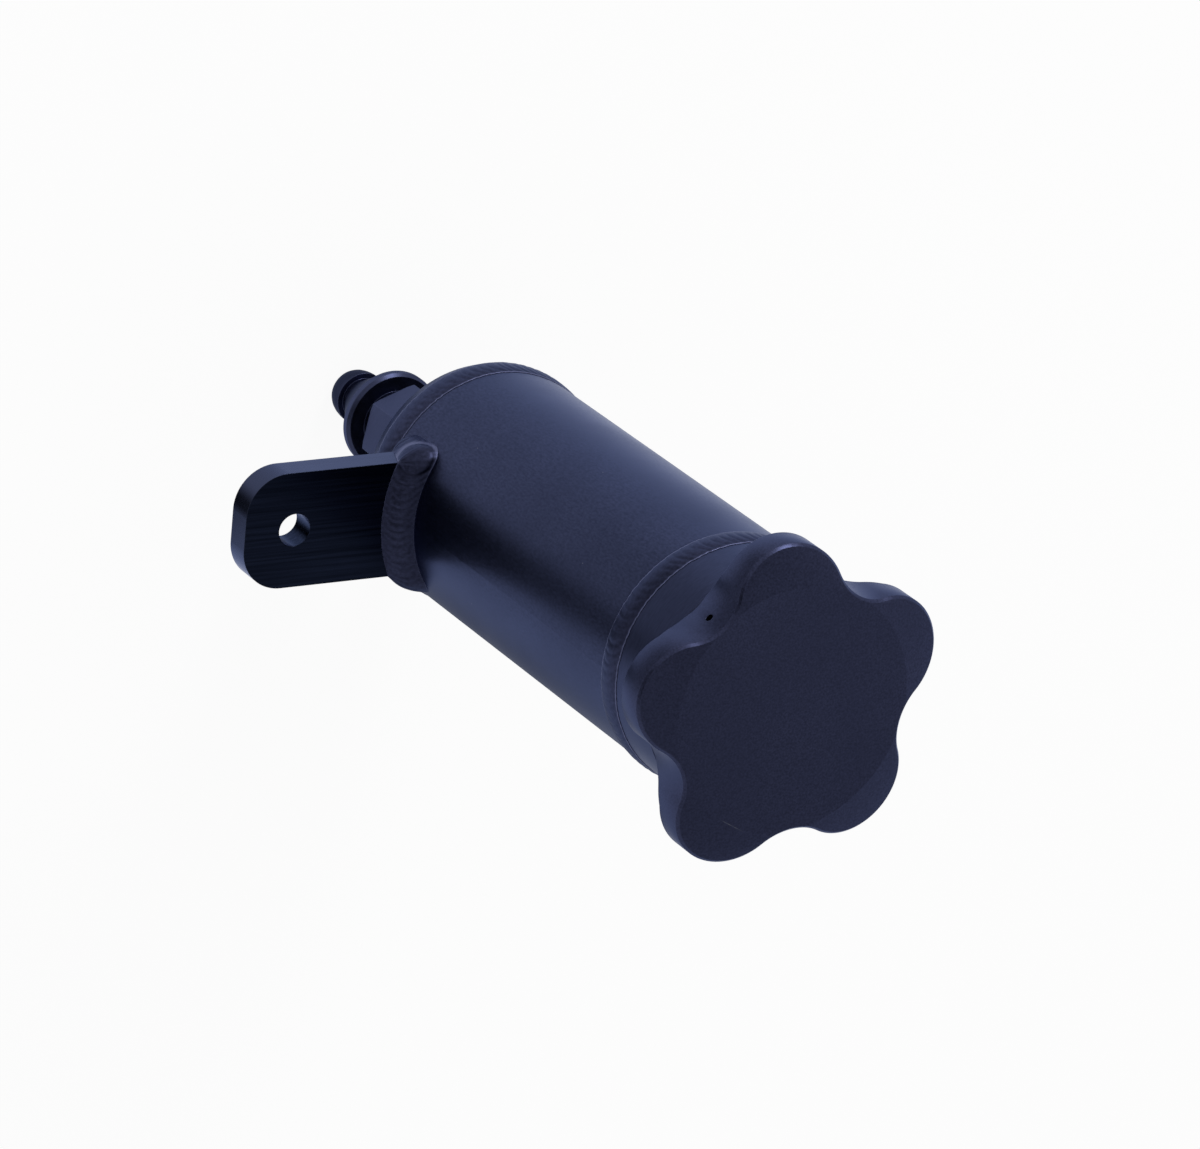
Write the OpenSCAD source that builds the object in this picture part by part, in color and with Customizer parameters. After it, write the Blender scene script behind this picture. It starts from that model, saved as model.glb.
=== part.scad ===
// Welded aluminium power steering reservoir with a vented five-lobed screw cap.
// The part stands upright, +Z along the tank axis, and the mounting tab points along +X.
// The origin is the middle of the bolt hole in the tab. All sizes are in millimetres.

/* [Tank] */
// Outer diameter of the tank tube, the filler neck and the bottom plate
tube_od = 76.2; // [70:0.2:90]
// Wall of the tank tube
tube_wall = 3.2; // [2.4:0.1:4.5]
// Length of the tank tube between its two end welds
tube_len = 149; // [110:1:240]
// Width of the V that is machined at each welded joint, on either side
weld_prep = 1.5; // [1:0.1:2]
// Radial play of each spigot inside the tube
spigot_play = 0.1; // [0.05:0.05:0.2]

/* [Bottom plate] */
// Thickness of the plate outside the tube
plate_t = 9.7; // [8.5:0.1:14]
// Length of the spigot that locates the plate in the tube
plate_spigot = 6; // [4:0.5:10]
// Radial width of the chamfer on the plate's lower rim
plate_chamfer_w = 2.2; // [0.5:0.1:3]
// Height of the plate's rim between its chamfer and the weld
plate_land = 0.2; // [0.1:0.1:1.5]
// Distance of each hose port from the tank axis
port_offset = 19; // [17.5:0.1:19.5]
// Direction of the feed port about the tank axis, from the tab
feed_angle = -32.3; // [-60:0.1:60]

/* [Filler neck] */
// Height of the neck from its weld to its mouth
neck_h = 23.2; // [20:0.1:35]
// Wall of the neck, from its outside to the crests of its thread
neck_wall = 7.1; // [6.6:0.1:9]
// Length of the spigot that locates the neck in the tube
neck_spigot = 5; // [3:0.5:8]
// Small chamfer on the neck's mouth and on the cap's lower edge
edge_break = 0.5; // [0.2:0.1:0.8]

/* [Weld beads] */
// Width of each round bead
bead_w = 9.3; // [6:0.1:10]
// Height of each round bead above the tube
bead_h = 0.8; // [0.6:0.1:1.8]
// Length of the tab's weld along the tube, above the tab
over_tube_leg = 5.9; // [4:0.1:9]
// Length of the tab's weld along the tab, above the tab
over_tab_leg = 8.3; // [4:0.1:9]
// Length of the tab's weld along the tube, below the tab
under_tube_leg = 5.2; // [4:0.1:8]
// Length of the tab's weld along the tab, below the tab
under_tab_leg = 5.4; // [4:0.1:9]
// Bulge of the tab's weld beyond a straight fillet
fillet_bulge = 1; // [0.2:0.1:1.2]
// Share of its length along the tube that the weld keeps at the tab's two edges
edge_leg_share = 0.8; // [0.7:0.05:1]
// Bulge at those two edges, as a multiple of the bulge above the tab
edge_bulge_share = 1.7; // [1:0.1:1.8]
// Distance between two ripples of the tab's weld
ripple_pitch = 3; // [2:0.1:5]
// Depth of a ripple in the tab's weld
ripple_depth = 0.35; // [0:0.05:0.6]
// Gap between the bottom bead and the weld under the tab
weld_room = 1.2; // [0.5:0.1:60]
// Gap between a bead and the metal that it joins
bead_gap = 0.02; // [0.01:0.01:0.05]

/* [Mounting tab] */
// Length of the tab from the tube to its free end
tab_len = 54.3; // [50:0.1:80]
// Width of the tab
tab_w = 37; // [30:0.1:44]
// Thickness of the tab
tab_t = 9.1; // [6:0.1:12]
// Radius of the tab's two free corners
tab_corner = 13.3; // [6:0.1:15]
// Diameter of the bolt hole
bolt_hole = 10.4; // [6:0.1:13]
// Distance from the tube to the middle of the bolt hole
hole_out = 37.7; // [33:0.1:39]
// Gap between the coped end of the tab and the tube
cope_gap = 0.1; // [0.05:0.05:0.3]

/* [Screw cap] */
// Height of the cap above the neck
cap_h = 17; // [14:0.1:24]
// How far the tip of each lobe stands outside the tube
lobe_out = 12.8; // [10.5:0.1:14]
// Radius of each lobe
lobe_r = 17.6; // [15.5:0.1:18.5]
// How far the bottom of each valley stands outside the tube
valley_step = 0.1; // [0.1:0.1:1]
// Number of lobes
lobe_count = 5; // [5:1:5]
// Direction of the vented valley about the tank axis, from the tab
vent_angle = 312.5; // [300:0.5:330]
// Fall of the lobes' upper face for each millimetre outside the flat middle
lobe_slope = 0.22; // [0:0.01:0.25]
// Chamfer on the cap's upper edge
cap_chamfer = 0.8; // [0.5:0.1:2]
// Height of the lobes' underside above the neck
lobe_lift = 4.8; // [2:0.1:6]
// Radial length of the cone under each lobe
lobe_cone = 7.6; // [4:0.1:9]
// Diameter of the vent hole
vent_d = 2.4; // [1.5:0.1:3]
// Depth of the vent hole below the cap's face
vent_drop = 8.7; // [6:0.1:9.5]
// Distance from the cap's axis to the vertical vent passage
vent_reach = 20; // [12:0.5:22]
// Length of the threaded plug below the neck's mouth
plug_len = 14; // [11:0.5:17]
// Wall of the plug
plug_wall = 4.5; // [3.5:0.1:6]
// Radial play of the plug in the neck
plug_play = 0.08; // [0.05:0.01:0.1]
// Depth of the pocket in the cap above the neck's mouth
pocket_rise = 2; // [0:0.5:3]

/* [Seals] */
// Section diameter of the cap's O-ring
cap_ring_d = 3.5; // [2.6:0.1:4]
// Section diameter of each port's O-ring
port_ring_d = 2.4; // [1.8:0.1:2.6]
// Play round an O-ring in its groove
ring_play = 0.1; // [0.05:0.05:0.2]

/* [Feed adapter] */
// Hexagon of the feed adapter across its flats
feed_hex = 25.4; // [24:0.1:27]
// Length of the feed adapter's hexagon
feed_hex_len = 17; // [10:0.5:20]
// Thread diameter of the feed adapter
feed_thread = 22.2; // [18:0.1:22.4]
// Diameter of the feed adapter's collar
feed_collar = 31.8; // [27:0.1:34]
// Length from the feed adapter's collar to its bead
feed_cone_len = 17.5; // [12:0.1:26]
// Diameter of the feed adapter's bead, which the hose is pushed over
feed_bead = 17; // [16.5:0.1:20]
// Diameter of the stem behind the feed adapter's bead
feed_stem = 13.6; // [13:0.1:15]
// Bore of the feed adapter
feed_bore = 10.4; // [8:0.1:10.8]
// Turn of the feed adapter's hexagon once it is tight
feed_hex_turn = -7.9; // [-30:0.1:30]

/* [Return adapter] */
// Hexagon of the return adapter across its flats
return_hex = 19; // [18.2:0.1:21]
// Length of the return adapter's hexagon
return_hex_len = 13; // [8:0.5:18]
// Thread diameter of the return adapter
return_thread = 14.3; // [12:0.1:15]
// Diameter of the return adapter's collar
return_collar = 23; // [20:0.1:26]
// Length from the return adapter's collar to its bead
return_cone_len = 13.5; // [10:0.1:20]
// Diameter of the return adapter's bead, which the hose is pushed over
return_bead = 12; // [11.4:0.1:13.5]
// Diameter of the stem behind the return adapter's bead
return_stem = 9.4; // [9:0.1:10.4]
// Bore of the return adapter
return_bore = 6.4; // [5:0.1:6.8]
// Turn of the return adapter's hexagon once it is tight
return_hex_turn = 12; // [-30:0.1:30]

/* [Both adapters] */
// Height of the chamfer on the corners of each hexagon
hex_chamfer = 0.6; // [0.5:0.1:1.4]
// Length of the groove between the hexagon and the collar
groove_len = 6; // [3:0.5:8]
// Depth of that groove below the hexagon's flats
groove_depth = 2.5; // [1:0.1:3]
// Thickness of the collar
collar_t = 4; // [3:0.1:6]
// Rounding of the collar's rim
collar_round = 1; // [0.4:0.1:1.4]
// Straight length of the stem behind the bead
stem_len = 1.5; // [0.5:0.1:3]
// Length of the bead
bead_len = 7.7; // [4:0.1:9]
// Length of the bead at its full diameter
bead_land = 0.4; // [0.2:0.1:1.5]
// Radial rounding of the bead's nose
nose_round = 2.4; // [1:0.1:2.6]
// Length of thread below the port's face
thread_len = 12; // [9:0.5:14]
// Depth of the relief that carries the O-ring, from the thread's crests
relief_depth = 1.3; // [1:0.1:1.6]
// Radial play of each thread in its port
thread_play = 0.05; // [0.02:0.01:0.1]

/* [Hidden] */
$fn = 96;
eps = 0.01;

tube_r = tube_od / 2;
bore_r = tube_r - tube_wall;
tab_reach = tube_r + tab_len;
hole_reach = tube_r + hole_out;
tube_bottom = plate_t;
tab_height = tube_bottom + bead_w / 2 + weld_room + under_tube_leg + tab_t / 2;
tube_top = plate_t + tube_len;
mouth_z = tube_top + neck_h;
cap_top = mouth_z + cap_h;
plate_chamfer_h = plate_t - bead_w / 2 - plate_land;
neck_r = tube_r - neck_wall;
plug_r = neck_r - plug_play;
return_angle = feed_angle + 180;

seat_depth = cap_ring_d + 3 * ring_play;
ring_groove_r = plug_r - cap_ring_d / 2 - ring_play;
cap_ring_r = ring_groove_r + cap_ring_d / 2 + ring_play;
cap_ring_z = mouth_z - cap_ring_d / 2 - ring_play;
seat_r = cap_ring_r + cap_ring_d / 2 + ring_play;

valley_r = tube_r + valley_step;
half_turn = 180 / lobe_count;
tip_r = tube_r + lobe_out;
lobe_reach = tip_r - lobe_r;
valley_arc = (pow(lobe_reach, 2) + pow(valley_r, 2) - 2 * lobe_reach * valley_r * cos(half_turn)
              - pow(lobe_r, 2)) / (2 * (lobe_reach * cos(half_turn) + lobe_r - valley_r));
valley_reach = valley_r + valley_arc;
lobe_steps = 20;
valley_steps = 14;
cone_share = 0.6;
crease_gap = 0.4;

black = [0.10, 0.10, 0.13];
satin_black = [0.13, 0.13, 0.17];
weld_grey = [0.20, 0.20, 0.24];
rubber_black = [0.04, 0.04, 0.04];

module on_tank_axis() {
    translate([-hole_reach, 0, -tab_height]) children();
}

module at_port(angle) {
    on_tank_axis() rotate([0, 0, angle]) translate([port_offset, 0, 0]) children();
}

// The tube, with a chamfer at each end for the weld.
module tank_tube() {
    color(satin_black) on_tank_axis() rotate_extrude()
        polygon([[bore_r, tube_bottom],
                 [tube_r - weld_prep, tube_bottom],
                 [tube_r, tube_bottom + weld_prep],
                 [tube_r, tube_top - weld_prep],
                 [tube_r - weld_prep, tube_top],
                 [bore_r, tube_top]]);
}

// One hose port, counterbored for its O-ring.
module port_cut(thread_d) {
    translate([0, 0, -eps])
        cylinder(d = thread_d + 2 * thread_play, h = plate_t + plate_spigot + 2 * eps);
    translate([0, 0, -eps])
        cylinder(r = port_ring_r(thread_d) + port_ring_d / 2 + ring_play,
                 h = port_ring_d + 2 * ring_play + eps);
}

// The turned bottom plate: chamfered rim, weld chamfer, spigot and two ports.
module bottom_plate() {
    spigot_r = bore_r - spigot_play;
    color(satin_black) difference() {
        on_tank_axis() rotate_extrude()
            polygon([[0, 0],
                     [tube_r - plate_chamfer_w, 0],
                     [tube_r, plate_chamfer_h],
                     [tube_r, plate_t - weld_prep],
                     [tube_r - weld_prep, plate_t],
                     [spigot_r, plate_t],
                     [spigot_r, plate_t + plate_spigot],
                     [0, plate_t + plate_spigot]]);
        at_port(feed_angle) port_cut(feed_thread);
        at_port(return_angle) port_cut(return_thread);
    }
}

// The turned neck ring, with a spigot in the tube and a seat for the cap's O-ring.
module filler_neck() {
    spigot_r = bore_r - spigot_play;
    color(satin_black) on_tank_axis() rotate_extrude()
        polygon([[neck_r, tube_top - neck_spigot],
                 [spigot_r, tube_top - neck_spigot],
                 [spigot_r, tube_top],
                 [tube_r - weld_prep, tube_top],
                 [tube_r, tube_top + weld_prep],
                 [tube_r, mouth_z - edge_break],
                 [tube_r - edge_break, mouth_z],
                 [seat_r, mouth_z],
                 [seat_r, mouth_z - seat_depth],
                 [neck_r, mouth_z - seat_depth]]);
}

// One round weld bead: a low arc over the joint, with its root in the V.
module round_bead(joint_z) {
    arc_r = (pow(bead_w / 2, 2) + pow(bead_h, 2)) / (2 * bead_h);
    base_r = tube_r + bead_gap;
    color(weld_grey) on_tank_axis() union() {
        rotate_extrude() intersection() {
            translate([base_r + bead_h - arc_r, joint_z]) circle(r = arc_r);
            translate([base_r, joint_z - bead_w]) square([2 * bead_h, 2 * bead_w]);
        }
        rotate_extrude() polygon([[base_r + bead_h / 2, joint_z - weld_prep],
                                  [base_r, joint_z - weld_prep],
                                  [base_r - weld_prep + bead_gap, joint_z],
                                  [base_r, joint_z + weld_prep],
                                  [base_r + bead_h / 2, joint_z + weld_prep]]);
    }
}

module bottom_weld() {
    round_bead(tube_bottom);
}

module neck_weld() {
    round_bead(tube_top);
}

// The flat tab, coped to the tube, with round free corners and one bolt hole.
module mounting_tab() {
    corner_x = tab_reach - tab_corner;
    color(satin_black) on_tank_axis() difference() {
        translate([0, 0, tab_height - tab_t / 2]) linear_extrude(tab_t) union() {
            translate([bore_r, -tab_w / 2]) square([corner_x - bore_r, tab_w]);
            translate([bore_r, -tab_w / 2 + tab_corner])
                square([tab_reach - bore_r, tab_w - 2 * tab_corner]);
            for (side = [-1, 1])
                translate([corner_x, side * (tab_w / 2 - tab_corner)]) circle(r = tab_corner);
        }
        translate([0, 0, tab_height - tab_t]) cylinder(r = tube_r + cope_gap, h = 2 * tab_t);
        translate([hole_reach, 0, tab_height - tab_t]) cylinder(d = bolt_hole, h = 2 * tab_t);
    }
}

// The weld round the tab's root. Each station stands on the edge of the tab's section,
// and its direction turns about the four corners.
half_w = tab_w / 2;
half_t = tab_t / 2;
ripple_steps = 4;
corner_steps = 8;
bead_steps = 6;
base_steps = 5;
long_steps = round(tab_w / ripple_pitch) * ripple_steps;
short_steps = round(tab_t / ripple_pitch) * ripple_steps;
function side_run(from, to, turn, steps) =
    [for (i = [0:steps - 1]) concat(from + (to - from) * i / steps, [turn])];
function corner_run(at, turn) =
    [for (i = [0:corner_steps - 1]) concat(at, [turn + 90 * i / corner_steps])];
weld_stations = concat(
    side_run([half_w, -half_t], [half_w, half_t], 0, short_steps),
    corner_run([half_w, half_t], 0),
    side_run([half_w, half_t], [-half_w, half_t], 90, long_steps),
    corner_run([-half_w, half_t], 90),
    side_run([-half_w, half_t], [-half_w, -half_t], 180, short_steps),
    corner_run([-half_w, -half_t], 180),
    side_run([-half_w, -half_t], [half_w, -half_t], 270, long_steps),
    corner_run([half_w, -half_t], 270));

// A point of the weld, so far out along the station's direction and so far above the tube.
function weld_point(station, along, above) =
    let(y = station[0] + along * cos(station[2]),
        z = station[1] + along * sin(station[2]),
        shell = tube_r + bead_gap + above)
    [sqrt(shell * shell - y * y), y, z + tab_height];

// The weld's section at station i: from its root out along the tab's face, over a rippled
// bulge on the straight fillet to its toe, and back along the tube. Its size passes from
// that under the tab to that over it, and it bulges more at the tab's two edges.
function weld_section(i) =
    let(station = weld_stations[i],
        up = station[1] / tab_t + 0.5,
        edge = abs(cos(station[2])),
        toe = (under_tube_leg + (over_tube_leg - under_tube_leg) * up)
              * (1 - (1 - edge_leg_share) * edge),
        rise = under_tab_leg + (over_tab_leg - under_tab_leg) * up,
        ripple = ripple_depth * (abs(sin(180 * i / ripple_steps)) - 0.5),
        bulge = fillet_bulge * (1 + (edge_bulge_share - 1) * edge) + ripple,
        slant = norm([toe, rise]))
    concat([weld_point(station, bead_gap, 0)],
           [for (k = [0:bead_steps])
               let(t = 1 - k / bead_steps,
                   out = bulge * sin(180 * t) / slant)
               weld_point(station, bead_gap + toe * (1 - t) + rise * out,
                          rise * t + toe * out)],
           [for (k = [1:base_steps - 1])
               weld_point(station, bead_gap + toe * (1 - k / base_steps), 0)]);

// Two triangles between neighbouring points j of ring i and ring k, with n points a ring.
function cell(n, i, k, j) =
    let(a = i * n + j, b = i * n + (j + 1) % n, c = k * n + j, d = k * n + (j + 1) % n)
    [[a, d, b], [a, c, d]];

module tab_weld() {
    rings = [for (i = [0:len(weld_stations) - 1]) weld_section(i)];
    n = len(rings[0]);
    count = len(rings);
    color(weld_grey) on_tank_axis()
        polyhedron(points = [for (ring = rings) each ring],
                   faces = [for (i = [0:count - 1], j = [0:n - 1])
                       each cell(n, i, (i + 1) % count, j)]);
}

function port_relief_r(thread_d) = thread_d / 2 - relief_depth;
function port_ring_r(thread_d) = port_relief_r(thread_d) + port_ring_d / 2 + ring_play / 2;

// A hexagon with its corners chamfered at both ends. Its upper face is at zero.
module chamfered_hexagon(hex_w, hex_len) {
    corner_r = hex_w / sqrt(3);
    chamfer_r = corner_r - hex_chamfer / tan(30);
    intersection() {
        translate([0, 0, -hex_len]) cylinder(r = corner_r, h = hex_len, $fn = 6);
        rotate_extrude() polygon([[0, -hex_len],
                                  [chamfer_r, -hex_len],
                                  [corner_r + eps, -hex_len + hex_chamfer],
                                  [corner_r + eps, -hex_chamfer],
                                  [chamfer_r, 0],
                                  [0, 0]]);
    }
}

// A push-on hose adapter. It hangs below its port: thread, hexagon, groove, collar, cone, bead.
module hose_adapter(hex_w, hex_len, hex_turn, thread_d, collar_d, cone_len, bead_d, stem_d,
                    bore_d) {
    relief_len = port_ring_d + 3 * ring_play;
    groove_r = hex_w / 2 - groove_depth;
    collar_r = collar_d / 2;
    collar_z = -hex_len - groove_len;
    cone_z = collar_z - collar_t;
    bead_z = cone_z - cone_len;
    nose_len = bead_len - bead_land;
    tip_z = bead_z - bead_len;
    nose = [for (turn = [90:-15:0])
        [bead_d / 2 - nose_round * (1 - cos(turn)), bead_z - bead_land - nose_len * sin(turn)]];
    color(black) difference() {
        union() {
            rotate_extrude() polygon(concat([[0, tip_z]], nose,
                [[bead_d / 2, bead_z],
                 [stem_d / 2, bead_z],
                 [stem_d / 2, bead_z + stem_len],
                 [collar_r - collar_round, cone_z],
                 [collar_r, cone_z + collar_round],
                 [collar_r, collar_z - collar_round],
                 [collar_r - collar_round, collar_z],
                 [groove_r, collar_z],
                 [groove_r, -hex_len + eps],
                 [0, -hex_len + eps]]));
            rotate([0, 0, hex_turn]) chamfered_hexagon(hex_w, hex_len);
            translate([0, 0, -eps]) cylinder(r = port_relief_r(thread_d), h = relief_len + eps);
            translate([0, 0, relief_len]) cylinder(d = thread_d, h = thread_len - relief_len);
        }
        translate([0, 0, tip_z - eps]) cylinder(d = bore_d, h = thread_len - tip_z + 2 * eps);
    }
}

module port_o_ring(thread_d) {
    color(rubber_black) translate([0, 0, port_ring_d / 2 + ring_play]) rotate_extrude()
        translate([port_ring_r(thread_d), 0]) circle(d = port_ring_d);
}

module feed_adapter() {
    at_port(feed_angle)
        hose_adapter(feed_hex, feed_hex_len, feed_hex_turn, feed_thread, feed_collar,
                     feed_cone_len, feed_bead, feed_stem, feed_bore);
}

module feed_o_ring() {
    at_port(feed_angle) port_o_ring(feed_thread);
}

module return_adapter() {
    at_port(return_angle)
        hose_adapter(return_hex, return_hex_len, return_hex_turn, return_thread, return_collar,
                     return_cone_len, return_bead, return_stem, return_bore);
}

module return_o_ring() {
    at_port(return_angle) port_o_ring(return_thread);
}

module cap_o_ring() {
    color(rubber_black) on_tank_axis() translate([0, 0, cap_ring_z]) rotate_extrude()
        translate([cap_ring_r, 0]) circle(d = cap_ring_d);
}

// The cap's outline: lobe arcs and valley arcs that meet where the line between
// their centres crosses both, set in by a chamfer.
join_turn = atan2(valley_reach * sin(half_turn), valley_reach * cos(half_turn) - lobe_reach);
valley_at = valley_reach * [cos(half_turn), sin(half_turn)];
function lobe_points(inset) = [for (i = [0:lobe_steps])
    let(t = join_turn * (2 * i / lobe_steps - 1))
    [lobe_reach, 0] + (lobe_r - inset) * [cos(t), sin(t)]];
function valley_points(inset) = [for (i = [1:valley_steps - 1])
    let(t = 180 + half_turn + (join_turn - half_turn) * (1 - 2 * i / valley_steps))
    valley_at + (valley_arc + inset) * [cos(t), sin(t)]];
function turned(p, a) = [p[0] * cos(a) - p[1] * sin(a), p[0] * sin(a) + p[1] * cos(a)];
function lobed_outline(inset) = [for (k = [0:lobe_count - 1])
    each [for (p = concat(lobe_points(inset), valley_points(inset)))
        turned(p, vent_angle + half_turn * (2 * k + 1))]];

// Heights of the face and of the underside at a distance from the axis.
function face_z(r) = cap_top - lobe_slope * max(r - tube_r, 0);
function under_z(r) =
    mouth_z + max(lobe_lift * min(max((r - tube_r) / lobe_cone, 0), 1), edge_break + eps);

// Rings of the cap, each over the outline's own directions.
function round_ring(outline, r, z) = [for (p = outline) concat(p * r / norm(p), [z])];
function face_ring(outline, drop) = [for (p = outline) concat(p, [face_z(norm(p)) - drop])];
function under_ring(outline) = [for (p = outline) concat(p, [under_z(norm(p)) + eps])];
function cone_ring(outline) = [for (p = outline)
    let(r = tube_r + min(lobe_cone, (norm(p) - tube_r) * cone_share))
    concat(p * r / norm(p), [under_z(r)])];
function crease_ring(outline) = [for (p = outline)
    concat(p * min(tube_r / norm(p), 1 - crease_gap / norm(p)), [cap_top])];

// The lobed head: land on the neck, cone under the lobes, wall, chamfer, and a flat middle
// from which the lobes' faces fall.
module cap_head() {
    outer = lobed_outline(0);
    inner = lobed_outline(cap_chamfer);
    rings = [round_ring(outer, tube_r - edge_break, mouth_z),
             round_ring(outer, tube_r, mouth_z + edge_break),
             cone_ring(outer),
             under_ring(outer),
             face_ring(outer, cap_chamfer),
             face_ring(inner, 0),
             crease_ring(inner)];
    n = len(outer);
    low = len(rings) * n;
    top = low + 1;
    last = (len(rings) - 1) * n;
    walls = [for (i = [0:len(rings) - 2], j = [0:n - 1]) each cell(n, i, i + 1, j)];
    ends = [for (j = [0:n - 1])
        each [[low, j, (j + 1) % n], [top, last + (j + 1) % n, last + j]]];
    polyhedron(points = concat([for (ring = rings) each ring],
                               [[0, 0, mouth_z], [0, 0, cap_top]]),
               faces = concat(walls, ends));
}

// The screw cap in one piece: head, plug with its groove, hollow and vent.
module screw_cap() {
    vent_z = cap_top - vent_drop;
    color(satin_black) on_tank_axis() difference() {
        union() {
            cap_head();
            rotate_extrude() polygon([[0, mouth_z - plug_len],
                                      [plug_r, mouth_z - plug_len],
                                      [plug_r, mouth_z - seat_depth],
                                      [ring_groove_r, mouth_z - seat_depth],
                                      [ring_groove_r, mouth_z + eps],
                                      [0, mouth_z + eps]]);
        }
        translate([0, 0, mouth_z - plug_len - eps])
            cylinder(r = ring_groove_r - plug_wall, h = plug_len + pocket_rise + eps);
        rotate([0, 0, vent_angle]) {
            translate([vent_reach, 0, vent_z]) rotate([0, 90, 0]) cylinder(d = vent_d, h = tip_r);
            translate([vent_reach, 0, mouth_z]) cylinder(d = vent_d, h = vent_z - mouth_z);
        }
    }
}

tank_tube();
bottom_plate();
filler_neck();
bottom_weld();
neck_weld();
mounting_tab();
tab_weld();
feed_adapter();
feed_o_ring();
return_adapter();
return_o_ring();
cap_o_ring();
screw_cap();
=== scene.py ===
"""Looks of the power steering reservoir: finishes, weld ripples, the machined cap, studio and camera."""

import math

import bpy
from mathutils import Matrix, Vector, noise

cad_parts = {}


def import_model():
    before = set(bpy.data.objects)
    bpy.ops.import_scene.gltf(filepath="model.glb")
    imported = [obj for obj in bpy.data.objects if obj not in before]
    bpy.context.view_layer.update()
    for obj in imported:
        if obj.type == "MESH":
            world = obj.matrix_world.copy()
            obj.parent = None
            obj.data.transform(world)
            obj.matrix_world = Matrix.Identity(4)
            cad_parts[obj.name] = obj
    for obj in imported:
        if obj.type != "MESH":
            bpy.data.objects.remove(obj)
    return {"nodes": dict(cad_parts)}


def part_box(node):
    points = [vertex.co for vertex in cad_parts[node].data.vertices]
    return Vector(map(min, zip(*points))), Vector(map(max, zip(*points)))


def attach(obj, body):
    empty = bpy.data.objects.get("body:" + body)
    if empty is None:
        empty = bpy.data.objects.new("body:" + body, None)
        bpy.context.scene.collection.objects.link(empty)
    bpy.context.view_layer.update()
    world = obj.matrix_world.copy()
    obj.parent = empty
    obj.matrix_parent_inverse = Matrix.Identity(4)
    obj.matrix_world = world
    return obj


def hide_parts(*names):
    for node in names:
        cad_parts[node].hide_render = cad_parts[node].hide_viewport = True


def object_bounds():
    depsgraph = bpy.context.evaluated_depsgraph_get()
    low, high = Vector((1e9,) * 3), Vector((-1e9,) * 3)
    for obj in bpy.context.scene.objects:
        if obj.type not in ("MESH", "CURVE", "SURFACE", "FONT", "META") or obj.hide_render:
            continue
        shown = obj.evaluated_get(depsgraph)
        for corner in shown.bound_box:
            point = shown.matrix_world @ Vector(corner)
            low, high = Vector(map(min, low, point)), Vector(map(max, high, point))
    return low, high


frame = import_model()
cad_low, cad_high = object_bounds()

MM = 0.001
FULL_TURN = 2 * math.pi

# Places of the tank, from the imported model
tube_low, tube_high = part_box("tank_tube")
neck_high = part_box("filler_neck")[1]
cap_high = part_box("screw_cap")[1]
tab_low, tab_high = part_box("mounting_tab")
ring_low, ring_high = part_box("neck_weld")

AXIS_X = (tube_low.x + tube_high.x) / 2
TUBE_R = (tube_high.y - tube_low.y) / 2
LOWER_JOINT = tube_low.z
UPPER_JOINT = tube_high.z
MOUTH = neck_high.z
CAP_TOP = cap_high.z


def on_axis(radius, turn, z):
    """A point at a distance from the tank axis, in a direction counted from the tab."""
    return Vector((AXIS_X + radius * math.cos(turn), radius * math.sin(turn), z))


def ramp(value, start, end):
    """0 before start, 1 after end, and a smooth rise between them."""
    share = min(1, max(0, (value - start) / (end - start)))
    return share * share * (3 - 2 * share)


# Meshes

def grid_mesh(name, rows, around=False, closed=False, ends=False):
    """Quads between rows of points. around closes each row, closed joins the last row to the first,
    and ends caps the first and last rows with a fan."""
    width = len(rows[0])
    points = [point for row in rows for point in row]
    faces = []
    last_row = len(rows) if closed else len(rows) - 1
    last_point = width if around else width - 1
    for i in range(last_row):
        k = (i + 1) % len(rows)
        for j in range(last_point):
            m = (j + 1) % width
            faces.append((i * width + j, i * width + m, k * width + m, k * width + j))
    if ends:
        for row, turn in ((0, -1), (len(rows) - 1, 1)):
            middle = len(points)
            points.append(sum(rows[row], Vector()) / width)
            for j in range(width):
                a, b = row * width + j, row * width + (j + 1) % width
                faces.append((middle, a, b) if turn > 0 else (middle, b, a))
    mesh = bpy.data.meshes.new(name)
    mesh.from_pydata([tuple(point) for point in points], [], faces)
    mesh.validate()
    piece = bpy.data.objects.new(name, mesh)
    bpy.context.scene.collection.objects.link(piece)
    return piece


def smooth(piece, crease_deg):
    """Smooth shading, with edges sharper than crease_deg left crisp."""
    mesh = piece.data
    mesh.polygons.foreach_set("use_smooth", [True] * len(mesh.polygons))
    bpy.context.view_layer.objects.active = piece
    for other in bpy.context.selected_objects:
        other.select_set(False)
    piece.select_set(True)
    bpy.ops.object.shade_smooth_by_angle(angle=math.radians(crease_deg))
    return piece


def store_painted_light_and_tone(piece, painted_lights_and_tones):
    """Stores on each point its painted highlight (up to 1) or painted shade (down to -1), and the
    puddle's own tone.
    """
    values = [value for row in painted_lights_and_tones for value in row]
    layer = piece.data.attributes.new("painted_light_and_tone", "FLOAT", "POINT")
    layer.data.foreach_set("value", values)


# Round welds

BEAD_H = (ring_high.y - ring_low.y) / 2 - TUBE_R
BEAD_HALF = (ring_high.z - ring_low.z) / 2
BEAD_STEPS = 26
BEAD_CREASE = 50
SEAM = 0.02 * MM
ROOT = 1.5 * MM
ROOT_SINK = 0.05 * MM
CROWN_POWER = 0.75

RIPPLE_PITCH = 2.9 * MM
RIPPLE_STEPS = 8
RIPPLE_POWER = 0.6
RIPPLE_H = 0.16 * MM
RIPPLE_SAG = 0.8
RIPPLE_SLANT = 0.35
RIPPLE_DRIFT = 0.4
# Painted shade in the weld's ripple valleys
RIPPLE_PAINTED_SHADE = 0.25

TOE_WOBBLE = 0.28 * MM
TOE_BIAS = 0.5
SWELL_SHARE = 0.1

LIP_H = 0.1 * MM
LIP_W = 0.45 * MM
LIP_FLAT = 0.4
LIP_FOOT = -0.1 * MM
LIP_RISE = 0.3
LIP_PATCHY = 0.25
LOW_LIP_SHARE = 1.7

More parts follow.
